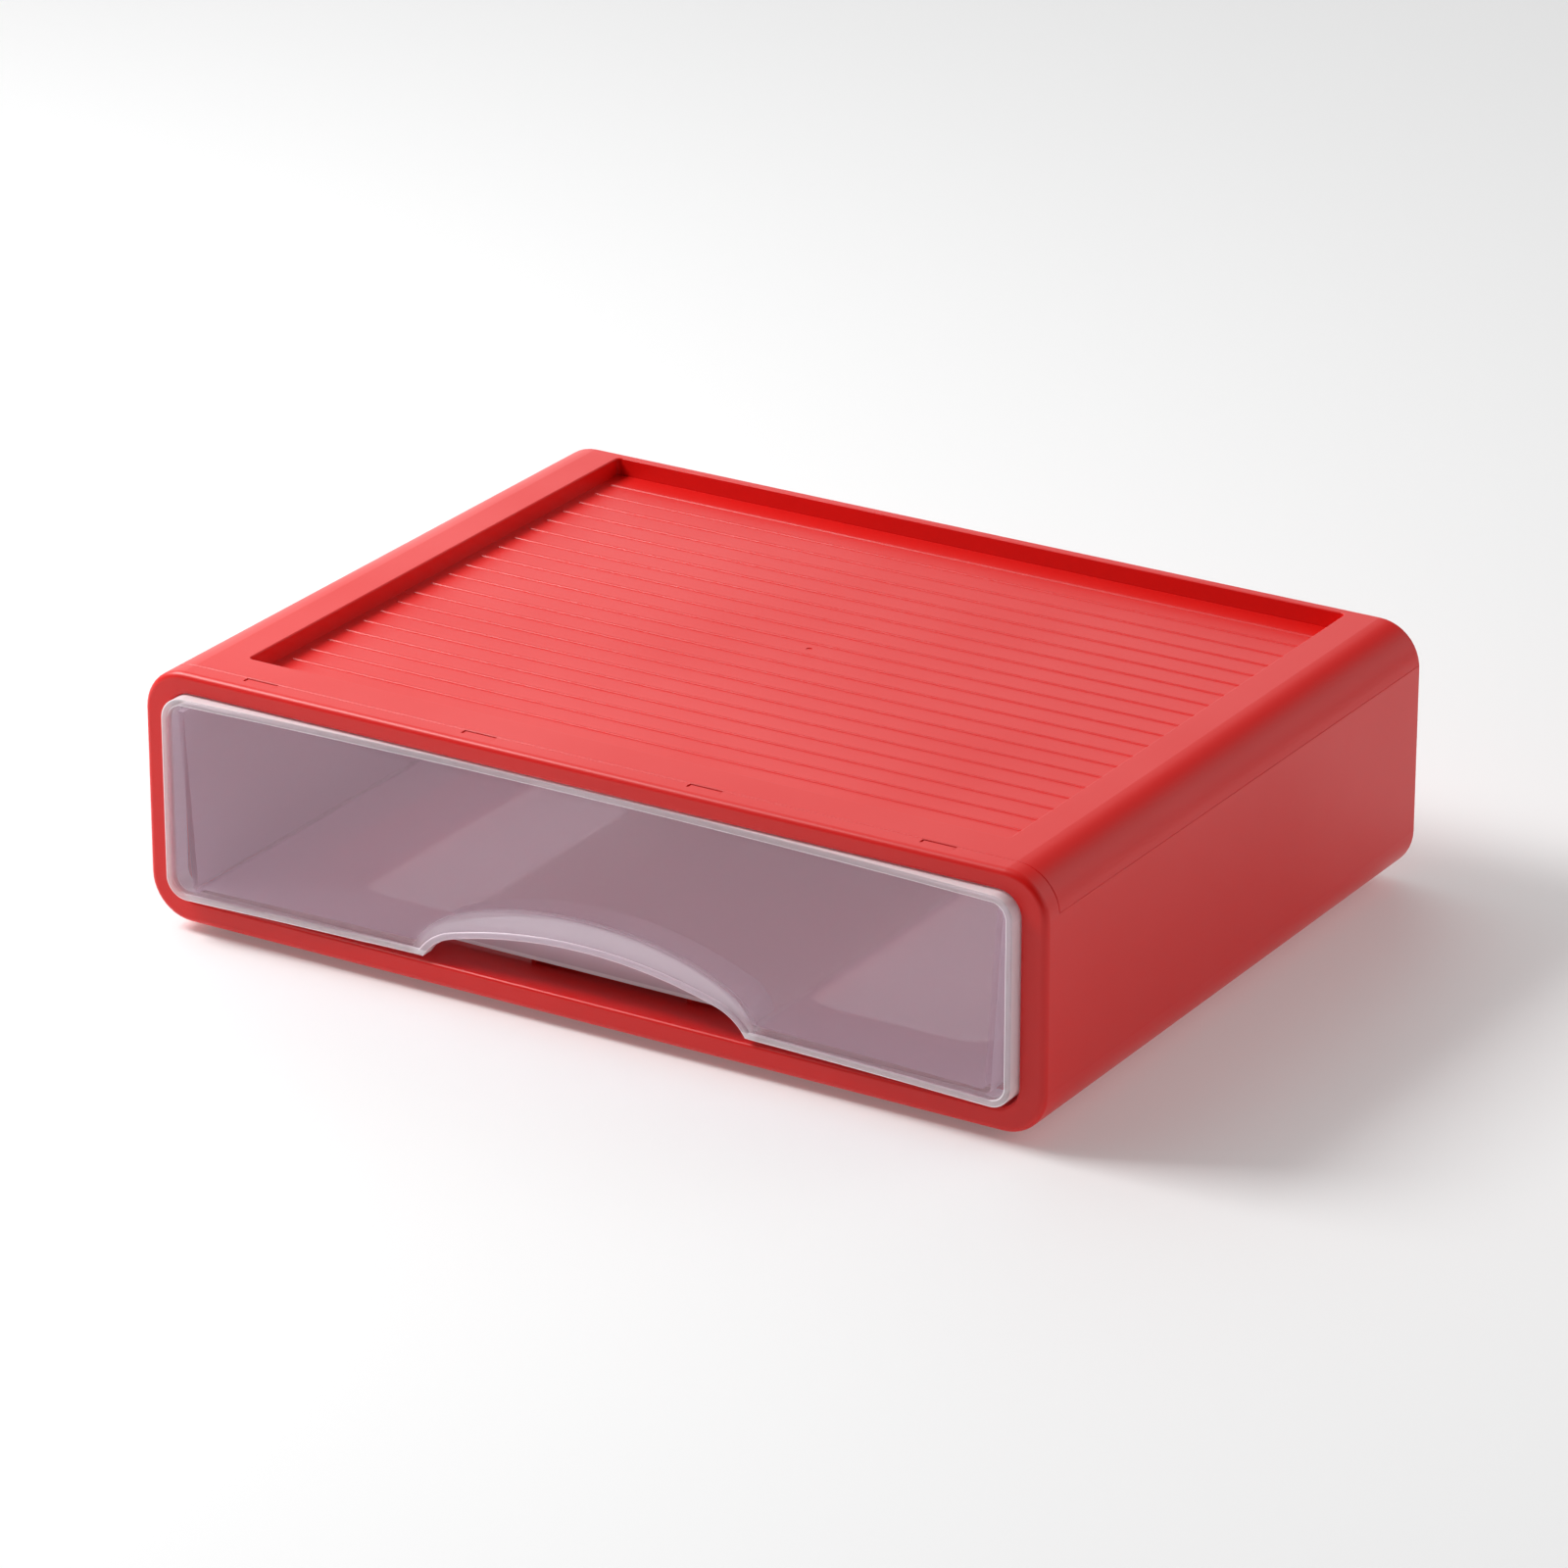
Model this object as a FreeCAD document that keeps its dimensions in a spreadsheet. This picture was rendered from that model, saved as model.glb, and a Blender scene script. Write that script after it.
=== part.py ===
import FreeCAD, Part
import math
import os
import Sketcher
from types import SimpleNamespace

# A desk drawer box in three mouldings that snap together: a case with the front ring, a ribbed top cover with
# a sunk tray that locates the next box, and a translucent drawer with an arched finger pull.
# Front is -Y, the drawer slides out along -Y, up is +Z, and z = 0 is under the feet. Millimetres.
# The bodies are drawn with y = 0 in the plane of the case's front face, and their Placement centres them.

driving = {
    # outer case
    "case_width": 360.0,
    "case_depth": 265.0,
    "case_height": 94.0,
    "corner_radius": 16.2,
    "edge_round": 2.4,
    "wall": 2.4,
    "back_wall": 2.6,
    "floor_wall": 2.4,
    # front ring and the ledge behind it
    "ring_depth": 8.4,
    "ring_side": 10.0,
    "ring_top": 7.6,
    "ring_bottom": 8.5,
    "mouth_radius": 9.0,
    "mouth_round": 1.3,
    "ledge_depth": 18.0,
    "ledge_wall": 2.4,
    # two windows in the floor
    "floor_gap_inner": 54.5,
    "floor_gap_width": 75.0,
    "floor_gap_front": 51.0,
    "floor_gap_length": 164.0,
    "floor_gap_radius": 13.0,
    # runner ribs on the floor
    "runner_inner": 31.5,
    "runner_outer": 142.0,
    "runner_width": 1.8,
    "runner_ramp": 6.0,
    "runner_drop": 2.6,
    # stacking feet
    "foot_height": 4.0,
    "foot_arm": 34.0,
    "foot_width": 9.0,
    "foot_radius": 3.0,
    "foot_gap": 2.0,
    # joint between case and cover
    "split_drop": 14.8,
    "seam_gap": 0.12,
    "seam_bevel": 0.2,
    "lip_height": 3.0,
    "lip_wall": 1.1,
    "lip_gap": 0.15,
    # four snap windows and tongues
    "window_inner": 45.0,
    "window_outer": 135.0,
    "window_width": 13.0,
    "window_depth": 3.0,
    "window_skin": 2.4,
    "tongue_width": 12.0,
    "tongue_wall": 1.8,
    "tongue_gap": 0.25,
    "tongue_reach": 2.5,
    "tongue_head": 2.0,
    "tongue_sink": 0.3,
    "tongue_root": 5.0,
    # sunk tray of the cover
    "rail_width": 28.0,
    "tray_front": 23.5,
    "back_rim": 5.0,
    "tray_depth": 6.7,
    "tray_floor": 2.3,
    "tray_wall": 2.2,
    "tray_radius": 2.0,
    "tray_edge_round": 0.5,
    "rib_count": 21,
    "rib_width": 1.4,
    "rib_height": 0.42,
    "rib_end_gap": 4.0,
    "gate_radius": 1.1,
    "gate_depth": 0.25,
    # drawer front
    "front_gap": 0.4,
    "front_bottom": 10.4,
    "front_radius": 8.2,
    "front_proud": 5.0,
    "front_bow": 4.9,
    "rim_width": 2.5,
    "rim_step": 0.8,
    "rim_back": 5.0,
    "rim_round": 0.7,
    "skin_wall": 2.2,
    # arched finger pull
    "pull_half": 65.0,
    "pull_rise": 16.0,
    "pull_shoulder": 20.0,
    "pull_sink": 10.6,
    "pocket_half": 65.0,
    "pocket_rise": 23.5,
    "pocket_shoulder": 12.8,
    "pocket_depth": 15.0,
    "pocket_wall": 1.6,
    "pocket_lift": 1.1,
    # drawer tub
    "tub_wall": 2.2,
    "tub_floor": 2.0,
    "tub_side_draft": 4.2,
    "tub_side_gap": 15.5,
    "tub_back_gap": 9.0,
    "tub_back_draft": 4.0,
    "tub_drop": 13.8,
    "tub_radius": 8.0,
    "tub_foot_round": 3.0,
    "tub_inner_round": 1.5,
    "slide_gap": 0.3,
    "floor_lift": 2.4,
    "flange_wall": 1.8,
    "flange_gap": 1.6,
    "flange_radius": 5.0,
    "close_gap": 0.4,
    # stop lugs that end the drawer's travel
    "travel": 190.0,
    "stop_gap": 0.5,
    "stop_length": 7.0,
    "stop_width": 3.6,
    "stop_bite": 2.4,
    "stop_ramp": 4.0,
    # overrun of cuts, and the depth by which a raised form grows into what carries it
    "overrun": 6.0,
    "root": 1.0,
}


class Size:
    """A length or a count, with the formula that the document keeps for it."""

    def __init__(self, value, formula):
        self.value = float(value)
        self.formula = formula

    def joined(self, other, sign, value):
        return Size(value, "(%s %s %s)" % (self.formula, sign, asSize(other).formula))

    def __add__(self, other):
        return self.joined(other, "+", self.value + asSize(other).value)

    def __sub__(self, other):
        return self.joined(other, "-", self.value - asSize(other).value)

    def __mul__(self, other):
        return self.joined(other, "*", self.value * asSize(other).value)

    def __truediv__(self, other):
        return self.joined(other, "/", self.value / asSize(other).value)

    def __rmul__(self, other):
        return asSize(other) * self

    def __neg__(self):
        return Size(-self.value, "(-1 * %s)" % self.formula)


def asSize(item):
    return item if isinstance(item, Size) else Size(item, repr(item))


def rootOf(size):
    return Size(math.sqrt(size.value), "sqrt(%s)" % size.formula)


def signed(size, side):
    return size if side > 0 else -size


doc = FreeCAD.newDocument("drawer_box")
sheet = doc.addObject("Spreadsheet::Sheet", "Sizes")
for row, (name, value) in enumerate(driving.items(), start=1):
    sheet.set("A%d" % row, name)
    sheet.set("B%d" % row, str(value))
    sheet.setAlias("B%d" % row, name)
doc.recompute()
s = SimpleNamespace(**{name: Size(value, "Sizes." + name) for name, value in driving.items()})
nothing = asSize(0)

# sizes that several pieces share
halfWidth = s.case_width / 2
bottom = s.foot_height
top = bottom + s.case_height
split = top - s.split_drop
innerHalf = halfWidth - s.wall
innerBack = s.case_depth - s.back_wall
ledgeTop = bottom + s.ring_bottom
coverFront = s.ring_depth + s.seam_gap
trayHalf = halfWidth - s.rail_width
trayBack = s.case_depth - s.back_rim
trayBase = top - s.tray_depth
windowTop = top - s.window_skin
windowPlaces = [signed(place, side) for side in (-1, 1) for place in (s.window_inner, s.window_outer)]
drawerBase = bottom + s.front_bottom
tubBase = drawerBase + s.floor_lift
runnerTop = tubBase - s.slide_gap
centring = (s.front_proud - s.case_depth) / 2

idleFeatures = []
tolerance = 0.01


# Sketches


def arcPoint(x, y, centreX, centreY, radius):
    """A vertex that the outline reaches along an arc of under half a turn."""
    return (x, y, (centreX, centreY, radius))


def stepped(size, amount, direction):
    if direction > 0:
        return size + amount
    if direction < 0:
        return size - amount
    return size


def heading(start, end):
    along = end.value - start.value
    return (along > tolerance) - (along < -tolerance)


def rounded(corners):
    """Vertices of a closed outline of level and upright lines, from corners (x, y) or (x, y, radius)."""
    vertices = []
    for place, corner in enumerate(corners):
        if len(corner) == 2:
            vertices.append((corner[0], corner[1], None))
            continue
        x, y, radius = corner
        before, after = corners[place - 1], corners[(place + 1) % len(corners)]
        comingX, comingY = heading(before[0], x), heading(before[1], y)
        goingX, goingY = heading(x, after[0]), heading(y, after[1])
        startX, startY = stepped(x, radius, -comingX), stepped(y, radius, -comingY)
        endX, endY = stepped(x, radius, goingX), stepped(y, radius, goingY)
        centreX, centreY = stepped(startX, radius, goingX), stepped(startY, radius, goingY)
        vertices.append((startX, startY, None))
        vertices.append(arcPoint(endX, endY, centreX, centreY, radius))
    return vertices


def box(left, right, low, high, radius=None):
    corners = [(left, low), (right, low), (right, high), (left, high)]
    if radius is not None:
        corners = [corner + (radius,) for corner in corners]
    return rounded(corners)


def arch(reach, base, rise, shoulder, sink):
    """A low arch from left to right: two shoulder arcs and one wide arc, tangent. The shoulders' centres lie
    at a reach to either side and sink below the base line, so the arch meets that line at a slope."""
    half = reach + rootOf(shoulder * shoulder - sink * sink)
    height = rise + sink
    crown = (reach * reach + height * height - shoulder * shoulder) / (2 * (height - shoulder))
    crownY = base + rise - crown
    share = crown / (crown - shoulder)
    meetX = reach * share
    meetY = crownY + (base - sink - crownY) * share
    return [
        (-half, base, None),
        arcPoint(-meetX, meetY, -reach, base - sink, shoulder),
        arcPoint(meetX, meetY, nothing, crownY, crown),
        arcPoint(half, base, reach, base - sink, shoulder),
    ]


def reversedArch(vertices):
    """The same arch from right to left. Each arc's centre moves to the vertex that it now arrives at."""
    turned = [(vertices[-1][0], vertices[-1][1], None)]
    for place in range(len(vertices) - 1, 0, -1):
        x, y, _ = vertices[place - 1]
        turned.append((x, y, vertices[place][2]))
    return turned


def drawOutline(sketch, vertices):
    """Draws one closed outline. Its vertices are held from the sketch's origin by formulas."""
    count = len(vertices)
    first = sketch.GeometryCount
    starts, ends = [], []
    for place in range(count):
        x0, y0, _ = vertices[place]
        x1, y1, around = vertices[(place + 1) % count]
        start = FreeCAD.Vector(x0.value, y0.value, 0)
        end = FreeCAD.Vector(x1.value, y1.value, 0)
        if around is None:
            sketch.addGeometry(Part.LineSegment(start, end), False)
            starts.append(1)
            ends.append(2)
            continue
        centre = FreeCAD.Vector(around[0].value, around[1].value, 0)
        leftTurn = (start - centre).cross(end - centre).z > 0
        early, late = (start, end) if leftTurn else (end, start)
        circle = Part.Circle(centre, FreeCAD.Vector(0, 0, 1), around[2].value)
        fromAngle = math.atan2(early.y - centre.y, early.x - centre.x)
        toAngle = math.atan2(late.y - centre.y, late.x - centre.x)
        sketch.addGeometry(Part.ArcOfCircle(circle, fromAngle, toAngle), False)
        starts.append(1 if leftTurn else 2)
        ends.append(2 if leftTurn else 1)
    for place in range(count):
        following = (place + 1) % count
        sketch.addConstraint(Sketcher.Constraint(
            "Coincident", first + place, ends[place], first + following, starts[following]))
        for kind, size in (("DistanceX", vertices[place][0]), ("DistanceY", vertices[place][1])):
            number = sketch.addConstraint(Sketcher.Constraint(
                kind, -1, 1, first + place, starts[place], size.value))
            sketch.setExpression("Constraints[%d]" % number, size.formula)
        around = vertices[following][2]
        if around is not None:
            number = sketch.addConstraint(Sketcher.Constraint("Radius", first + place, around[2].value))
            sketch.setExpression("Constraints[%d]" % number, around[2].formula)


def addSketch(body, name, plane, level, *outlines):
    """A sketch on one of the body's own planes, shifted to a level along that plane's axis."""
    sketch = body.newObject("Sketcher::SketchObject", name)
    support = [part for part in body.Origin.OriginFeatures if part.Role == plane + "_Plane"][0]
    sketch.AttachmentSupport = (support, [""])
    sketch.MapMode = "FlatFace"
    lift = -level if plane == "XZ" else level
    sketch.AttachmentOffset = FreeCAD.Placement(FreeCAD.Vector(0, 0, lift.value), FreeCAD.Rotation())
    sketch.setExpression("AttachmentOffset.Base.z", lift.formula)
    for vertices in outlines:
        drawOutline(sketch, vertices)
    return sketch


# Features


def newBody(name):
    body = doc.addObject("PartDesign::Body", name)
    body.Label = name
    body.setExpression("Placement.Base.y", centring.formula)
    return body


def settled(body, feature, before):
    doc.recompute()
    body.Tip = feature
    after = feature.Shape.Volume if not feature.Shape.isNull() else before
    if abs(after - before) < tolerance:
        idleFeatures.append(feature.Label)
    return feature


def volumeOf(body):
    return body.Tip.Shape.Volume if body.Tip is not None and not body.Tip.Shape.isNull() else 0.0


def pad(body, sketch, length, forward=True, middle=False):
    """Grows a sketch along its axis, forward or back, or to both sides of its plane."""
    before = volumeOf(body)
    feature = body.newObject("PartDesign::Pad", sketch.Label + "_pad")
    feature.Profile = sketch
    feature.setExpression("Length", length.formula)
    flipped = sketch.AttachmentSupport[0][0].Role == "XZ_Plane"
    feature.Reversed = forward if flipped else not forward
    if middle:
        feature.SideType = "Symmetric"
    return settled(body, feature, before)


def cut(body, sketch, depth=None, forward=True):
    """Cuts a sketch along its axis, forward or back, or right through both ways where no depth is given."""
    before = volumeOf(body)
    feature = body.newObject("PartDesign::Pocket", sketch.Label + "_cut")
    feature.Profile = sketch
    if depth is None:
        feature.Type = "ThroughAll"
        feature.SideType = "Symmetric"
    else:
        feature.setExpression("Length", depth.formula)
        flipped = sketch.AttachmentSupport[0][0].Role == "XZ_Plane"
        feature.Reversed = not forward if flipped else forward
    return settled(body, feature, before)


def loft(body, kind, low, high):
    before = volumeOf(body)
    feature = body.newObject("PartDesign::" + kind, low.Label + "_loft")
    feature.Profile = low
    feature.Sections = [high]
    feature.Ruled = True
    return settled(body, feature, before)


def dressEdges(body, kind, name, sizeName, size, chosen):
    """Rounds or bevels the edges of the tip whose bounding box, or the edge itself, satisfies a test."""
    before = volumeOf(body)
    carrier = body.Tip
    names = ["Edge%d" % number for number, edge in enumerate(carrier.Shape.Edges, start=1)
             if chosen(edge.BoundBox, edge)]
    feature = body.newObject("PartDesign::" + kind, name)
    feature.Base = (carrier, names)
    feature.setExpression(sizeName, size.formula)
    return settled(body, feature, before)


def roundEdges(body, name, radius, chosen):
    return dressEdges(body, "Fillet", name, "Radius", radius, chosen)


def bevelEdges(body, name, size, chosen):
    return dressEdges(body, "Chamfer", name, "Size", size, chosen)


def at(low, high, level):
    return abs(low - level.value) < tolerance and abs(high - level.value) < tolerance


def onSideSeam(b, front):
    """True for the outer edges along the side and back parting line."""
    outermost = max(abs(b.XMin), abs(b.XMax)) > (halfWidth - s.wall / 2).value
    backmost = b.YMax > s.case_depth.value - tolerance
    return at(b.ZMin, b.ZMax, split) and b.YMax > front.value + tolerance and (outermost or backmost)


def onFrontSeam(b, level):
    """True for the outer edges along the seam behind the ring, over the top and round both shoulders."""
    shoulder = max(abs(b.XMin), abs(b.XMax)) > innerHalf.value and b.ZMin > split.value - tolerance
    return at(b.YMin, b.YMax, level) and (at(b.ZMin, b.ZMax, top) or shoulder and b.ZMax > b.ZMin + tolerance)


def caseOutline(inset=None):
    """The rounded section of the case across its width, or the same section moved in by a wall."""
    inset = nothing if inset is None else inset
    return box(-halfWidth + inset, halfWidth - inset, bottom + inset, top - inset, s.corner_radius - inset)


# lower_case: ring, sides, floor, back, ledge, runners and feet in one moulding


def makeLowerCase():
    body = newBody("lower_case")
    pad(body, addSketch(body, "case_block", "XZ", nothing, caseOutline()), s.case_depth)
    roundEdges(body, "case_edges", s.edge_round,
               lambda b, edge: at(b.YMin, b.YMax, nothing) or at(b.YMin, b.YMax, s.case_depth))

    mouthHalf = halfWidth - s.ring_side
    mouth = box(-mouthHalf, mouthHalf, ledgeTop, top - s.ring_top, s.mouth_radius)
    cut(body, addSketch(body, "mouth", "XZ", nothing, mouth), s.ring_depth)
    roundEdges(body, "mouth_edges", s.mouth_round,
               lambda b, edge: at(b.YMin, b.YMax, nothing) and b.XMax < mouthHalf.value + tolerance
               and b.XMin > -mouthHalf.value - tolerance and b.ZMin > ledgeTop.value - tolerance
               and b.ZMax < (top - s.ring_top).value + tolerance)

    inside = rounded([
        (-innerHalf, bottom + s.floor_wall, s.corner_radius - s.wall),
        (innerHalf, bottom + s.floor_wall, s.corner_radius - s.wall),
        (innerHalf, top + s.overrun),
        (-innerHalf, top + s.overrun),
    ])
    above = box(s.ring_depth, s.case_depth + s.overrun, split, top + s.overrun)
    cut(body, addSketch(body, "cover_space", "YZ", nothing, above))
    bevelEdges(body, "front_seam_bevel", s.seam_bevel, lambda b, edge: onFrontSeam(b, s.ring_depth))
    cut(body, addSketch(body, "inside", "XZ", s.ring_depth, inside), innerBack - s.ring_depth)
    bevelEdges(body, "side_seam_bevel", s.seam_bevel, lambda b, edge: onSideSeam(b, s.ring_depth))

    ledgeHalf = halfWidth - s.corner_radius
    ledge = box(-ledgeHalf, ledgeHalf, s.ring_depth - s.root, s.ledge_depth)
    pad(body, addSketch(body, "ledge", "XY", bottom, ledge), s.ring_bottom)
    hollow = box(-ledgeHalf + s.ledge_wall, ledgeHalf - s.ledge_wall,
                 s.edge_round + s.ledge_wall, s.ledge_depth - s.ledge_wall)
    cut(body, addSketch(body, "ledge_hollow", "XY", bottom, hollow), s.ring_bottom - s.ledge_wall)

    gaps = []
    for side in (-1, 1):
        near, far = s.floor_gap_inner, s.floor_gap_inner + s.floor_gap_width
        left, right = (near, far) if side > 0 else (-far, -near)
        gaps.append(box(left, right, s.floor_gap_front, s.floor_gap_front + s.floor_gap_length,
                        s.floor_gap_radius))
    cut(body, addSketch(body, "floor_gaps", "XY", bottom, *gaps), s.floor_wall + s.root)

    runnerPlaces = [-s.runner_outer, -s.runner_inner, s.runner_inner, s.runner_outer]
    for number, place in enumerate(runnerPlaces, start=1):
        sideView = [
            (s.ledge_depth - s.root, bottom + s.floor_wall / 2, None),
            (innerBack + s.root, bottom + s.floor_wall / 2, None),
            (innerBack + s.root, runnerTop, None),
            (s.ledge_depth + s.runner_ramp, runnerTop, None),
            (s.ledge_depth, runnerTop - s.runner_drop, None),
            (s.ledge_depth, ledgeTop - s.root, None),
            (s.ledge_depth - s.root, ledgeTop - s.root, None),
        ]
        pad(body, addSketch(body, "runner_%d" % number, "YZ", place, sideView), s.runner_width, middle=True)

    footHalf = trayHalf - s.foot_gap
    footFront = s.tray_front + s.foot_gap
    footBack = trayBack - s.foot_gap
    for sideX in (-1, 1):
        for outerY, inwardY, end in ((footFront, 1, "front"), (footBack, -1, "back")):
            outerX = signed(footHalf, sideX)
            armX = stepped(outerX, s.foot_arm, -sideX)
            thinX = stepped(outerX, s.foot_width, -sideX)
            armY = stepped(outerY, s.foot_arm, inwardY)
            thinY = stepped(outerY, s.foot_width, inwardY)
            foot = rounded([
                (outerX, outerY, s.foot_radius),
                (armX, outerY, s.foot_radius),
                (armX, thinY, s.foot_radius),
                (thinX, thinY, s.foot_radius),
                (thinX, armY, s.foot_radius),
                (outerX, armY, s.foot_radius),
            ])
            name = "foot_%s_%s" % (end, "left" if sideX < 0 else "right")
            pad(body, addSketch(body, name, "XY", nothing, foot), bottom + s.floor_wall / 2)

    # a slot for each tongue runs into the ring from behind, and its window opens upward at the seam
    slots, windows = [], []
    slotHalf = s.window_width / 2
    for place in windowPlaces:
        slots.append(box(place - slotHalf, place + slotHalf,
                         windowTop - s.tongue_wall - s.tongue_gap * 2, windowTop))
        windows.append(box(place - slotHalf, place + slotHalf,
                           s.ring_depth - s.window_depth, s.ring_depth + s.overrun))
    cut(body, addSketch(body, "tongue_slots", "XZ", s.ring_depth, *slots), s.window_depth, forward=False)
    cut(body, addSketch(body, "windows", "XY", top, *windows), s.window_skin + s.root, forward=False)

    # inner lips on both side walls locate the cover
    lips = []
    for side in (-1, 1):
        near, far = innerHalf - s.lip_wall, innerHalf
        left, right = (near, far) if side > 0 else (-far, -near)
        lips.append(box(left, right, s.ring_depth - s.root, innerBack - s.lip_gap))
    pad(body, addSketch(body, "lips", "XY", split - s.lip_height, *lips), s.lip_height * 2)
    return body


# top_cover: tray, ribs, rails, shoulders, back rim and tongues in one moulding


def makeTopCover():
    body = newBody("top_cover")
    pad(body, addSketch(body, "cover_block", "XZ", coverFront, caseOutline()), s.case_depth - coverFront)
    roundEdges(body, "cover_back_edges", s.edge_round, lambda b, edge: at(b.YMin, b.YMax, s.case_depth))
    below = box(-s.overrun, s.case_depth + s.overrun, -s.overrun, split)
    cut(body, addSketch(body, "below", "YZ", nothing, below))
    under = rounded([
        (-innerHalf, nothing),
        (innerHalf, nothing),
        (innerHalf, top - s.wall, s.corner_radius - s.wall),
        (-innerHalf, top - s.wall, s.corner_radius - s.wall),
    ])
    cut(body, addSketch(body, "under", "XZ", nothing, under), innerBack)

    tub = box(-trayHalf - s.tray_wall, trayHalf + s.tray_wall, s.tray_front - s.tray_wall, innerBack + s.root)
    trayBottom = trayBase - s.tray_floor
    pad(body, addSketch(body, "tray_block", "XY", trayBottom, tub), top - s.wall / 2 - trayBottom)
    tray = box(-trayHalf, trayHalf, s.tray_front, trayBack, s.tray_radius)
    cut(body, addSketch(body, "tray", "XY", top, tray), s.tray_depth, forward=False)
    roundEdges(body, "tray_edges", s.tray_edge_round,
               lambda b, edge: at(b.ZMin, b.ZMax, top) and b.XMin > -trayHalf.value - tolerance
               and b.XMax < trayHalf.value + tolerance and b.YMin > s.tray_front.value - tolerance
               and b.YMax < trayBack.value + tolerance)

    # low rounded ribs run across the tray, evenly spaced from its front wall to its back wall
    ribPitch = (trayBack - s.tray_front) / (s.rib_count + 1)
    ribCentre = s.tray_front + ribPitch
    ribRadius = (s.rib_width * s.rib_width / 4 + s.rib_height * s.rib_height) / (2 * s.rib_height)
    ribHalf = s.rib_width / 2
    ribTop = trayBase + s.rib_height
    sunk = trayBase - s.tray_floor / 2
    rib = [
        (ribCentre - ribHalf, sunk, None),
        (ribCentre + ribHalf, sunk, None),
        (ribCentre + ribHalf, trayBase, None),
        arcPoint(ribCentre, ribTop, ribCentre, ribTop - ribRadius, ribRadius),
        arcPoint(ribCentre - ribHalf, trayBase, ribCentre, ribTop - ribRadius, ribRadius),
    ]
    ribSketch = addSketch(body, "rib", "YZ", nothing, rib)
    ribPad = pad(body, ribSketch, (trayHalf - s.rib_end_gap) * 2, middle=True)
    before = volumeOf(body)
    ribs = body.newObject("PartDesign::LinearPattern", "ribs")
    ribs.Originals = [ribPad]
    ribs.Direction = (ribSketch, ["H_Axis"])
    ribs.Mode = "Spacing"
    ribs.setExpression("Offset", ribPitch.formula)
    ribs.setExpression("Occurrences", s.rib_count.formula)
    settled(body, ribs, before)

    gate = addSketch(body, "gate_mark", "XY", trayBase)
    gateY = (s.tray_front + trayBack) / 2 + ribPitch / 2
    gateCentre = FreeCAD.Vector(0, gateY.value, 0)
    gate.addGeometry(Part.Circle(gateCentre, FreeCAD.Vector(0, 0, 1), s.gate_radius.value))
    for kind, size in (("DistanceX", nothing), ("DistanceY", gateY)):
        number = gate.addConstraint(Sketcher.Constraint(kind, -1, 1, 0, 3, size.value))
        gate.setExpression("Constraints[%d]" % number, size.formula)
    number = gate.addConstraint(Sketcher.Constraint("Radius", 0, s.gate_radius.value))
    gate.setExpression("Constraints[%d]" % number, s.gate_radius.formula)
    cut(body, gate, s.gate_depth, forward=False)

    # each tongue reaches forward under the ring's top and ends in a head that rises into its window
    tongueTop = windowTop - s.tongue_gap
    tongueTip = coverFront - s.tongue_reach
    headBack = tongueTip + s.tongue_head
    tongue = [
        (tongueTip, tongueTop - s.tongue_wall, None),
        (coverFront + s.tongue_root, tongueTop - s.tongue_wall, None),
        (coverFront + s.tongue_root, top - s.wall / 2, None),
        (coverFront, top - s.wall / 2, None),
        (coverFront, tongueTop, None),
        (headBack, tongueTop, None),
        (headBack, top - s.tongue_sink, None),
        (tongueTip, top - s.tongue_sink, None),
    ]
    for number, place in enumerate(windowPlaces, start=1):
        pad(body, addSketch(body, "tongue_%d" % number, "YZ", place, tongue), s.tongue_width, middle=True)

    rebates = []
    for side in (-1, 1):
        near, far = innerHalf - s.lip_wall - s.overrun, innerHalf + s.lip_gap
        left, right = (near, far) if side > 0 else (-far, -near)
        rebates.append(box(left, right, split - s.overrun, split + s.lip_height + s.lip_gap))
    cut(body, addSketch(body, "lip_rebates", "XZ", nothing, *rebates), innerBack)

    bevelEdges(body, "cover_side_bevel", s.seam_bevel, lambda b, edge: onSideSeam(b, coverFront))
    bevelEdges(body, "cover_front_bevel", s.seam_bevel, lambda b, edge: onFrontSeam(b, coverFront))
    return body


# drawer: bowed front, finger pull, tub, flange and stop lugs in one moulding


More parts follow.
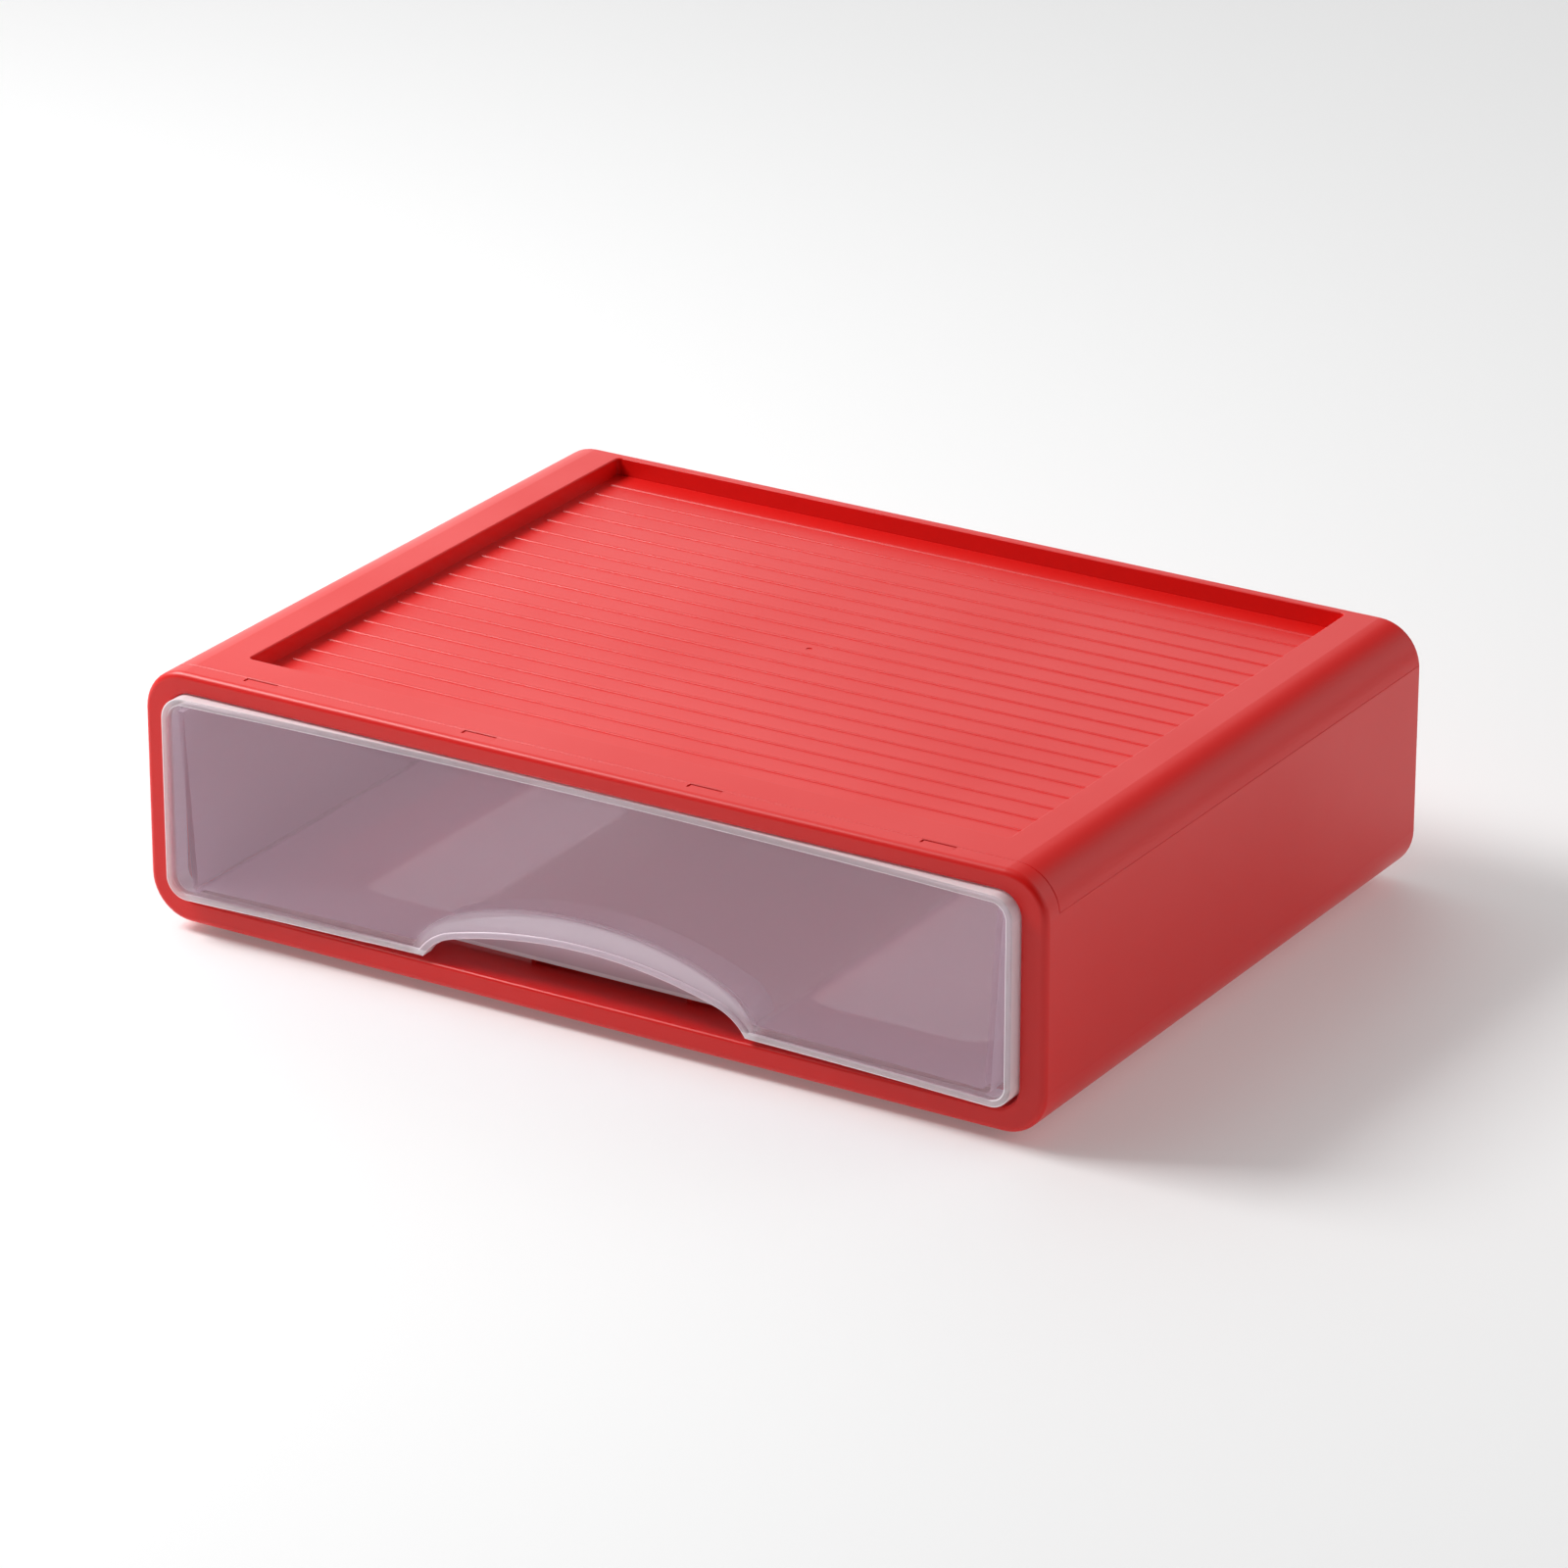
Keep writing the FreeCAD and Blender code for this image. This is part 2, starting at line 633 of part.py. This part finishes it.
def makeDrawer():
    body = newBody("drawer")
    frontHalf = halfWidth - s.ring_side - s.front_gap
    frontTop = top - s.ring_top - s.front_gap
    bowRadius = (frontHalf * frontHalf + s.front_bow * s.front_bow) / (2 * s.front_bow)
    bowCentre = s.front_bow - s.front_proud - bowRadius

    def bowed(x, behind):
        """The y of the bowed front at x, at a distance behind its face."""
        radius = bowRadius + behind
        return bowCentre + rootOf(radius * radius - x * x)

    def bowArc(x, behind):
        return arcPoint(x, bowed(x, behind), nothing, bowCentre, bowRadius + behind)

    # the rim is a deep ring round the front, and the skin spans it a step behind the rim's face
    rimBlock = [
        (-frontHalf, bowed(frontHalf, nothing), None),
        bowArc(frontHalf, nothing),
        (frontHalf, s.rim_back, None),
        (-frontHalf, s.rim_back, None),
    ]
    pad(body, addSketch(body, "rim_block", "XY", drawerBase, rimBlock), frontTop - drawerBase)

    pullReach = s.pull_half - rootOf(s.pull_shoulder * s.pull_shoulder - s.pull_sink * s.pull_sink)

    def frontOutline(inset):
        """The drawer front seen from ahead, with the arched notch of the pull in its lower edge."""
        low, high, far = drawerBase + inset, frontTop - inset, frontHalf - inset
        corner = s.front_radius - inset
        notch = arch(pullReach, low, s.pull_rise, s.pull_shoulder + inset, s.pull_sink + inset)
        return [arcPoint(-far + corner, low, -far + corner, low + corner, corner)] + notch + [
            (far - corner, low, None),
            arcPoint(far, low + corner, far - corner, low + corner, corner),
            (far, high - corner, None),
            arcPoint(far - corner, high, far - corner, high - corner, corner),
            (-far + corner, high, None),
            arcPoint(-far, high - corner, -far + corner, high - corner, corner),
            (-far, low + corner, None),
        ]

    cut(body, addSketch(body, "rim_window", "XZ", nothing, frontOutline(s.rim_width)))

    behindFace = s.rim_step
    behindSkin = s.rim_step + s.skin_wall
    skinHalf = frontHalf - s.rim_width / 2
    skin = [
        (-skinHalf, bowed(skinHalf, behindFace), None),
        bowArc(skinHalf, behindFace),
        (skinHalf, bowed(skinHalf, behindSkin), None),
        bowArc(-skinHalf, behindSkin),
    ]
    skinBase = drawerBase + s.rim_width / 2
    pad(body, addSketch(body, "skin", "XY", skinBase, skin), frontTop - s.rim_width / 2 - skinBase)
    blank = box(-frontHalf - s.overrun, frontHalf + s.overrun, drawerBase - s.overrun, frontTop + s.overrun)
    cut(body, addSketch(body, "front_outline", "XZ", nothing, blank, frontOutline(nothing)))

    def onRimFace(b, edge):
        """True for the edges round the rim's bowed face, outer and inner."""
        middle = edge.valueAt((edge.FirstParameter + edge.LastParameter) / 2)
        return abs(math.hypot(middle.x, middle.y - bowCentre.value) - bowRadius.value) < tolerance

    roundEdges(body, "rim_edges", s.rim_round, onRimFace)

    # the tub is drafted on three sides, and its front end grows into the skin
    tubTop = top - s.tub_drop
    topHalf = halfWidth - s.tub_side_gap
    topBack = s.case_depth - s.tub_back_gap

    def tubOutline(level, inset, behind):
        """The tub's plan at a height, moved in by a wall, from behind the skin to its drafted back."""
        share = (tubTop - level) / (tubTop - tubBase)
        half = topHalf - s.tub_side_draft * share - inset
        back = topBack - s.tub_back_draft * share - inset
        corner = s.tub_radius - inset
        return [
            (-half, bowed(half, behind), None),
            bowArc(half, behind),
            (half, back - corner, None),
            arcPoint(half - corner, back, half - corner, back - corner, corner),
            (-half + corner, back, None),
            arcPoint(-half, back - corner, -half + corner, back - corner, corner),
        ]

    midSkin = s.rim_step + s.skin_wall / 2
    loft(body, "AdditiveLoft",
         addSketch(body, "tub_low", "XY", tubBase, tubOutline(tubBase, nothing, midSkin)),
         addSketch(body, "tub_high", "XY", tubTop, tubOutline(tubTop, nothing, midSkin)))
    roundEdges(body, "tub_foot_edges", s.tub_foot_round,
               lambda b, edge: at(b.ZMin, b.ZMax, tubBase) and b.YMax > s.tub_radius.value)
    flangeHalf = frontHalf - s.flange_gap / 2
    flange = rounded([
        (-flangeHalf, s.rim_back - s.root),
        (flangeHalf, s.rim_back - s.root),
        (flangeHalf, innerBack - s.close_gap, s.flange_radius),
        (-flangeHalf, innerBack - s.close_gap, s.flange_radius),
    ])
    pad(body, addSketch(body, "flange", "XY", tubTop - s.flange_wall, flange), s.flange_wall)
    tubFloor = tubBase + s.tub_floor
    loft(body, "SubtractiveLoft",
         addSketch(body, "hollow_low", "XY", tubFloor, tubOutline(tubFloor, s.tub_wall, behindSkin)),
         addSketch(body, "hollow_high", "XY", tubTop, tubOutline(tubTop, s.tub_wall, behindSkin)))
    roundEdges(body, "tub_inner_edges", s.tub_inner_round,
               lambda b, edge: at(b.ZMin, b.ZMax, tubFloor) and b.YMax > s.tub_radius.value)

    # the pull's pocket is an arched box behind the skin, closed to the tub and open below
    pocketBase = drawerBase + s.pocket_lift
    skinBack = s.front_bow - s.front_proud + behindSkin
    pocketReach = s.pocket_half - s.pocket_shoulder
    outerArch = arch(pocketReach, pocketBase, s.pocket_rise + s.pocket_wall,
                     s.pocket_shoulder + s.pocket_wall, nothing)
    innerArch = arch(pocketReach, pocketBase, s.pocket_rise, s.pocket_shoulder, nothing)
    drop = pocketBase - s.overrun
    innerPath = [(-s.pocket_half, drop, None)] + innerArch + [(s.pocket_half, drop, None)]
    pad(body, addSketch(body, "pocket_block", "XZ", skinBack - s.skin_wall / 2, outerArch),
        s.pocket_depth + s.pocket_wall - skinBack + s.skin_wall / 2)
    cut(body, addSketch(body, "pocket", "XZ", skinBack, innerPath), s.pocket_depth - skinBack)
    lipInner = arch(pullReach, drawerBase, s.pull_rise, s.pull_shoulder, s.pull_sink)
    notch = [(-s.pull_half, drop, None)] + lipInner + [(s.pull_half, drop, None)]
    cut(body, addSketch(body, "notch", "XZ", skinBack, notch), s.overrun, forward=False)
    lipOuter = arch(pullReach, drawerBase, s.pull_rise + s.rim_width, s.pull_shoulder + s.rim_width,
                    s.pull_sink)
    lipBand = lipOuter + reversedArch(lipInner)
    pad(body, addSketch(body, "pull_lip", "XZ", skinBack - s.skin_wall / 2, lipBand),
        s.rim_back - skinBack + s.skin_wall / 2)

    # stop lugs stand on the flange and meet the back of the ring when the drawer is fully out
    lugFront = s.ring_depth + s.travel + s.stop_gap
    lugTop = top - s.ring_top + s.stop_bite
    lug = [
        (lugFront, tubTop - s.flange_wall / 2, None),
        (lugFront + s.stop_length, tubTop - s.flange_wall / 2, None),
        (lugFront + s.stop_length, tubTop, None),
        (lugFront + s.stop_length - s.stop_ramp, lugTop, None),
        (lugFront, lugTop, None),
    ]
    for side in (-1, 1):
        place = signed(flangeHalf - s.stop_width / 2, side)
        name = "stop_left" if side < 0 else "stop_right"
        pad(body, addSketch(body, name, "YZ", place, lug), s.stop_width, middle=True)
    return body


bodies = [makeLowerCase(), makeTopCover(), makeDrawer()]
doc.recompute()

for item in doc.Objects:
    if "Invalid" in item.State or "Error" in item.State:
        raise RuntimeError("%s is not valid: %s" % (item.Label, item.State))
os.makedirs("parts", exist_ok=True)
for body in bodies:
    shape = body.Shape
    if shape.isNull() or not shape.isValid():
        raise RuntimeError("%s has no valid shape" % body.Label)
    extent = shape.BoundBox
    print("%s: %d solid, %.1f cm3, x %.2f..%.2f, y %.2f..%.2f, z %.2f..%.2f" % (
        body.Label, len(shape.Solids), shape.Volume / 1000,
        extent.XMin, extent.XMax, extent.YMin, extent.YMax, extent.ZMin, extent.ZMax))
for body in bodies:
    body.Shape.exportStep("parts/%s.step" % body.Label)
if idleFeatures:
    print("features that changed nothing:", ", ".join(idleFeatures))
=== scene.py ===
import bpy
import math
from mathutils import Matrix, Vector

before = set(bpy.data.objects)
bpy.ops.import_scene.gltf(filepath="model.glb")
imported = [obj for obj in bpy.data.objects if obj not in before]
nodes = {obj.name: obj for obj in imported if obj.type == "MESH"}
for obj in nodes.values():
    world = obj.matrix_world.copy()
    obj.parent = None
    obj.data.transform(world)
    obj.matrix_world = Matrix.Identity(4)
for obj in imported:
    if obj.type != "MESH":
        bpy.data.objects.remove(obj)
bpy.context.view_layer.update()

# A red desk drawer box with a milky drawer, on a plain pale floor. Metres, front is -Y, up is +Z.

print("frame loaded:", ", ".join(sorted(nodes)))


# what all materials share

def calc(tree, operation, *terms):
    node = tree.nodes.new("ShaderNodeMath")
    node.operation = operation
    for socket, term in zip(node.inputs, terms):
        if isinstance(term, bpy.types.NodeSocket):
            tree.links.new(term, socket)
        else:
            socket.default_value = term
    return node.outputs["Value"]


class Look:
    def __init__(self, name):
        self.material = bpy.data.materials.new(name)
        self.material.use_nodes = True
        self.tree = self.material.node_tree
        self.shader = next(n for n in self.tree.nodes if n.type == "BSDF_PRINCIPLED")
        self.place = self.add("ShaderNodeTexCoord").outputs["Object"]

    def add(self, kind, **settings):
        node = self.tree.nodes.new(kind)
        for key, value in settings.items():
            setattr(node, key, value)
        return node

    def join(self, output, target):
        self.tree.links.new(output, target)

    def setShader(self, **values):
        for key, value in values.items():
            self.shader.inputs[key.replace("_", " ")].default_value = value

    def driveShader(self, **outputs):
        for key, output in outputs.items():
            self.join(output, self.shader.inputs[key.replace("_", " ")])

    def noise(self, scale, detail, stretch=None):
        node = self.add("ShaderNodeTexNoise")
        node.inputs["Scale"].default_value = scale
        node.inputs["Detail"].default_value = detail
        source = self.place
        if stretch is not None:
            mapping = self.add("ShaderNodeMapping")
            mapping.inputs["Scale"].default_value = stretch
            self.join(self.place, mapping.inputs["Vector"])
            source = mapping.outputs["Vector"]
        self.join(source, node.inputs["Vector"])
        return node.outputs["Fac"]

    # without a start and an end it spans what a noise mostly gives
    def ramp(self, factor, low, high, start=0.35, end=0.65):
        node = self.add("ShaderNodeMapRange")
        for key, value in (("From Min", start), ("From Max", end), ("To Min", low), ("To Max", high)):
            node.inputs[key].default_value = value
        self.join(factor, node.inputs["Value"])
        return node.outputs["Result"]

    def blend(self, factor, first, second):
        node = self.add("ShaderNodeMix", data_type="RGBA")
        self.join(factor, node.inputs["Factor"])
        for key, colour in (("A", first), ("B", second)):
            if isinstance(colour, bpy.types.NodeSocket):
                self.join(colour, node.inputs[key])
            else:
                node.inputs[key].default_value = (*colour, 1.0)
        return node.outputs["Result"]

    # 1 on the ellipsoid round the centre
    def fromCentre(self, centre, half):
        node = self.add("ShaderNodeMapping", vector_type="TEXTURE")
        node.inputs["Location"].default_value = centre
        node.inputs["Scale"].default_value = half
        self.join(self.place, node.inputs["Vector"])
        length = self.add("ShaderNodeVectorMath", operation="LENGTH")
        self.join(node.outputs["Vector"], length.inputs[0])
        return length.outputs["Value"]

    # the distance outward from an inner box round the centre
    def fromInner(self, centre, inner):
        source = self.place
        for operation, value in (("SUBTRACT", centre), ("ABSOLUTE", None), ("SUBTRACT", inner),
                                 ("MAXIMUM", (0.0, 0.0, 0.0)), ("LENGTH", None)):
            node = self.add("ShaderNodeVectorMath", operation=operation)
            self.join(source, node.inputs[0])
            if value is not None:
                node.inputs[1].default_value = value
            source = node.outputs["Value" if operation == "LENGTH" else "Vector"]
        return source

    def bump(self, height, distance, under=None):
        node = self.add("ShaderNodeBump")
        node.inputs["Distance"].default_value = distance
        self.join(height, node.inputs["Height"])
        if under is not None:
            self.join(under, node.inputs["Normal"])
        return node.outputs["Normal"]


def dress(piece, material):
    piece.data.materials.clear()
    piece.data.materials.append(material)


# the red plastic of the case and its cover

redPlastic = {
    "colour": (0.75, 0.008, 0.006),
    "deepColour": (0.72, 0.007, 0.005),   # where the pigment lies a little denser
    "mottleScale": 9.0,
    "mottleDetail": 3.0,
    "roughness": (0.30, 0.38),            # the smoothest and the dullest places of the moulding
    "grainScale": 2600.0,                 # the fine spark grain of the mould
    "grainDetail": 1.0,
    "grainHeight": 0.000012,
    "flowScale": 26.0,                    # long shallow waves from the melt
    "flowDetail": 1.0,
    "flowStretch": (0.35, 1.0, 1.0),
    "flowHeight": 0.00012,
    "ior": 1.45,
}


def makeRedPlastic(d):
    look = Look("redPlastic")
    mottle = look.noise(d["mottleScale"], d["mottleDetail"])
    waves = look.bump(look.noise(d["flowScale"], d["flowDetail"], d["flowStretch"]), d["flowHeight"])
    grain = look.bump(look.noise(d["grainScale"], d["grainDetail"]), d["grainHeight"], under=waves)
    look.driveShader(Base_Color=look.blend(look.ramp(mottle, 0.0, 1.0), d["colour"], d["deepColour"]),
                     Roughness=look.ramp(mottle, *d["roughness"]), Normal=grain)
    look.setShader(IOR=d["ior"])
    return look.material


red = makeRedPlastic(redPlastic)
dress(nodes["lower_case"], red)
dress(nodes["top_cover"], red)
print("case and cover dressed")


# the milky plastic of the drawer

milkyPlastic = {
    "colour": (0.97, 0.78, 0.92),
    "paleColour": (0.98, 0.80, 0.93),
    "cloudScale": 9.0,
    "cloudDetail": 2.0,
    "roughness": (0.14, 0.17),
    "cover": (0.165, 0.90),               # haze of one face, seen square on and seen along
    "coverTurn": (0.22, 0.90),            # between these turns of the face
    "turnBlend": 0.5,
    "pullCover": 0.24,                    # more haze where the pull makes the front thick
    "pullWhiteAndPaintedLight": 0.5,                     # how far its colour goes over to the rim's painted-light colour: partly the thicker plastic, partly painted light in the pocket
    "pullCentre": (0.0, 0.0, 0.015),
    "pullHalf": (0.069, 1.0, 0.0265),
    "pullEdge": (0.97, 1.03),             # shares of that size between which the haze fades
    "rimCentre": (0.0, 0.0, 0.0522),      # the outline of the front, where its rim gets painted light: a whiter colour and a stronger painted glow
    "rimInner": (0.1606, 10.0, 0.0288),   # half its width and height, less the radius of its corners
    "rimRadius": 0.009,
    "rimWidth": 0.0026,
    "rimEdge": 0.0003,
    # painted highlight: the whiter colour the rim takes, standing in for light falling on it and passing
    # along it
    "rimPaintedLightColour": (0.95, 0.90, 0.93),
    "rimCover": 0.18,
    "glowColour": (1.0, 0.66, 1.0),       # painted glow: the plastic shines a little by itself, in place of light carried along inside it
    "glow": 0.026,
    "rimGlow": 0.055,
    "ior": 1.49,
    "flowScale": 18.0,
    "flowDetail": 1.0,
    "flowHeight": 0.00002,
}


def makeMilkyPlastic(d):
    look = Look("milkyPlastic")
    cloud = look.noise(d["cloudScale"], d["cloudDetail"])
    fromPull = look.fromCentre(d["pullCentre"], d["pullHalf"])
    fromEdge = look.fromInner(d["rimCentre"], d["rimInner"])
    rimStart = d["rimRadius"] - d["rimWidth"]

    def pullRamp(inside):
        return look.ramp(fromPull, inside, 0.0, *d["pullEdge"])

    def rimRamp(inside, atRim):
        return look.ramp(fromEdge, inside, atRim, rimStart, rimStart + d["rimEdge"])

    turned = look.add("ShaderNodeLayerWeight")
    turned.inputs["Blend"].default_value = d["turnBlend"]
    haze = look.ramp(turned.outputs["Facing"], *d["cover"], *d["coverTurn"])
    extra = calc(look.tree, "ADD", pullRamp(d["pullCover"]), rimRamp(0.0, d["rimCover"]))
    # painted light: how far the colour and glow turn to the rim's painted-light colour, fully at the rim,
    # partly at the pull
    paintedLightShare = calc(look.tree, "ADD", rimRamp(0.0, 1.0), pullRamp(d["pullWhiteAndPaintedLight"]))
    clouds = look.blend(look.ramp(cloud, 0.0, 1.0), d["colour"], d["paleColour"])
    # painted light: a whiter colour and a whiter painted glow at the rim, and in part at the pull
    look.driveShader(Base_Color=look.blend(paintedLightShare, clouds, d["rimPaintedLightColour"]),
                     Roughness=look.ramp(cloud, *d["roughness"]),
                     Alpha=calc(look.tree, "ADD", haze, extra),
                     Normal=look.bump(look.noise(d["flowScale"], d["flowDetail"]), d["flowHeight"]),
                     Emission_Color=look.blend(paintedLightShare, d["glowColour"], d["rimPaintedLightColour"]),
                     Emission_Strength=rimRamp(d["glow"], d["rimGlow"]))
    look.setShader(IOR=d["ior"])
    return look.material


dress(nodes["drawer"], makeMilkyPlastic(milkyPlastic))
print("drawer dressed")


# the floor

floor = {
    "size": 14.0,
    "colour": (0.80, 0.80, 0.80),
    "roughness": 0.6,
    "glowColour": (1.0, 1.0, 1.0),
    "glow": 0.15,
    "underGlow": 0.42,                    # the floor shines up a little where the box covers it
    "underHalf": (0.150, 0.105),          # half the width and depth of that patch
    "underFade": 0.012,
}


def makeFloorLook(d):
    look = Look("paleFloor")
    look.setShader(Base_Color=(*d["colour"], 1.0), Roughness=d["roughness"],
                   Emission_Color=(*d["glowColour"], 1.0))
    split = look.add("ShaderNodeSeparateXYZ")
    look.join(look.place, split.inputs["Vector"])
    inside = []
    for axis, half in zip("XY", d["underHalf"]):
        size = calc(look.tree, "ABSOLUTE", split.outputs[axis])
        inside.append(look.ramp(size, 1.0, 0.0, half - d["underFade"], half))
    under = calc(look.tree, "MULTIPLY", *inside)
    look.driveShader(Emission_Strength=look.ramp(under, d["glow"], d["underGlow"], 0.0, 1.0))
    return look.material


def makeFloor(d):
    half = d["size"] / 2
    corners = [(-half, -half, 0), (half, -half, 0), (half, half, 0), (-half, half, 0)]
    mesh = bpy.data.meshes.new("floor")
    mesh.from_pydata(corners, [], [(0, 1, 2, 3)])
    plane = bpy.data.objects.new("floor", mesh)
    bpy.context.scene.collection.objects.link(plane)
    dress(plane, makeFloorLook(d))


makeFloor(floor)
print("floor laid")


# the light of the studio

studio = {
    "aim": (0.0, 0.0, 0.05),
    "lights": {
        # name: turn from +X and height in degrees, distance, size, power
        "softBox": (200.0, 44.0, 1.6, 0.6, 22.0),
    },
    "skyColour": (1.0, 1.0, 1.0, 1.0),
    "sky": {
        # name: turn from +X and height in degrees, how narrow, strength
        "rightLow": (0.0, 8.0, 16.0, 0.62),
        "backRightLow": (45.0, 8.0, 16.0, 0.33),
        "backLeftLow": (135.0, 8.0, 16.0, 0.97),
        "frontLeftLow": (225.0, 8.0, 16.0, 0.42),
        "right": (0.0, 30.0, 10.0, 0.47),
        "backRight": (45.0, 30.0, 10.0, 1.36),
        "backLeft": (135.0, 30.0, 10.0, 0.86),
        "left": (180.0, 30.0, 10.0, 0.75),
        "leftHigh": (180.0, 60.0, 8.0, 1.0),
    },
}


def towards(turn, height):
    turn, height = math.radians(turn), math.radians(height)
    return Vector((math.cos(height) * math.cos(turn), math.cos(height) * math.sin(turn), math.sin(height)))


def makeLights(d):
    for name, (turn, height, distance, size, power) in d["lights"].items():
        light = bpy.data.lights.new(name, "AREA")
        light.shape = "SQUARE"
        light.size = size
        light.energy = power
        item = bpy.data.objects.new(name, light)
        item.location = Vector(d["aim"]) + towards(turn, height) * distance
        item.rotation_euler = towards(turn, height).to_track_quat("Z", "Y").to_euler()
        bpy.context.scene.collection.objects.link(item)


# the sky is dark but for its soft round patches
def makeSky(d):
    sky = bpy.data.worlds.new("sky")
    sky.use_nodes = True
    tree = sky.node_tree
    direction = tree.nodes.new("ShaderNodeTexCoord").outputs["Generated"]
    total = 0.0
    for turn, height, narrow, strength in d["sky"].values():
        facing = tree.nodes.new("ShaderNodeVectorMath")
        facing.operation = "DOT_PRODUCT"
        facing.inputs[1].default_value = towards(turn, height)
        tree.links.new(direction, facing.inputs[0])
        patch = calc(tree, "POWER", calc(tree, "MAXIMUM", facing.outputs["Value"], 0.0), narrow)
        total = calc(tree, "MULTIPLY_ADD", patch, strength, total)
    tree.nodes["Background"].inputs["Color"].default_value = d["skyColour"]
    tree.links.new(total, tree.nodes["Background"].inputs["Strength"])
    bpy.context.scene.world = sky


makeLights(studio)
makeSky(studio)
bpy.context.scene.view_settings.view_transform = "Standard"
print("studio lit")


# the camera, solved from the straight edges of the case in the photograph

view = {
    "place": (1.279665, -2.080974, 1.064546),
    "down": 22.630,
    "turn": 31.585,
    "lens": 173.46,
    "sensor": 36.0,
}


def makeCamera(d):
    camera = bpy.data.objects.new("camera", bpy.data.cameras.new("camera"))
    camera.location = d["place"]
    camera.rotation_euler = (math.radians(90 - d["down"]), 0.0, math.radians(d["turn"]))
    camera.data.lens = d["lens"]
    camera.data.sensor_width = d["sensor"]
    bpy.context.scene.collection.objects.link(camera)
    bpy.context.scene.camera = camera


makeCamera(view)
print("camera set")
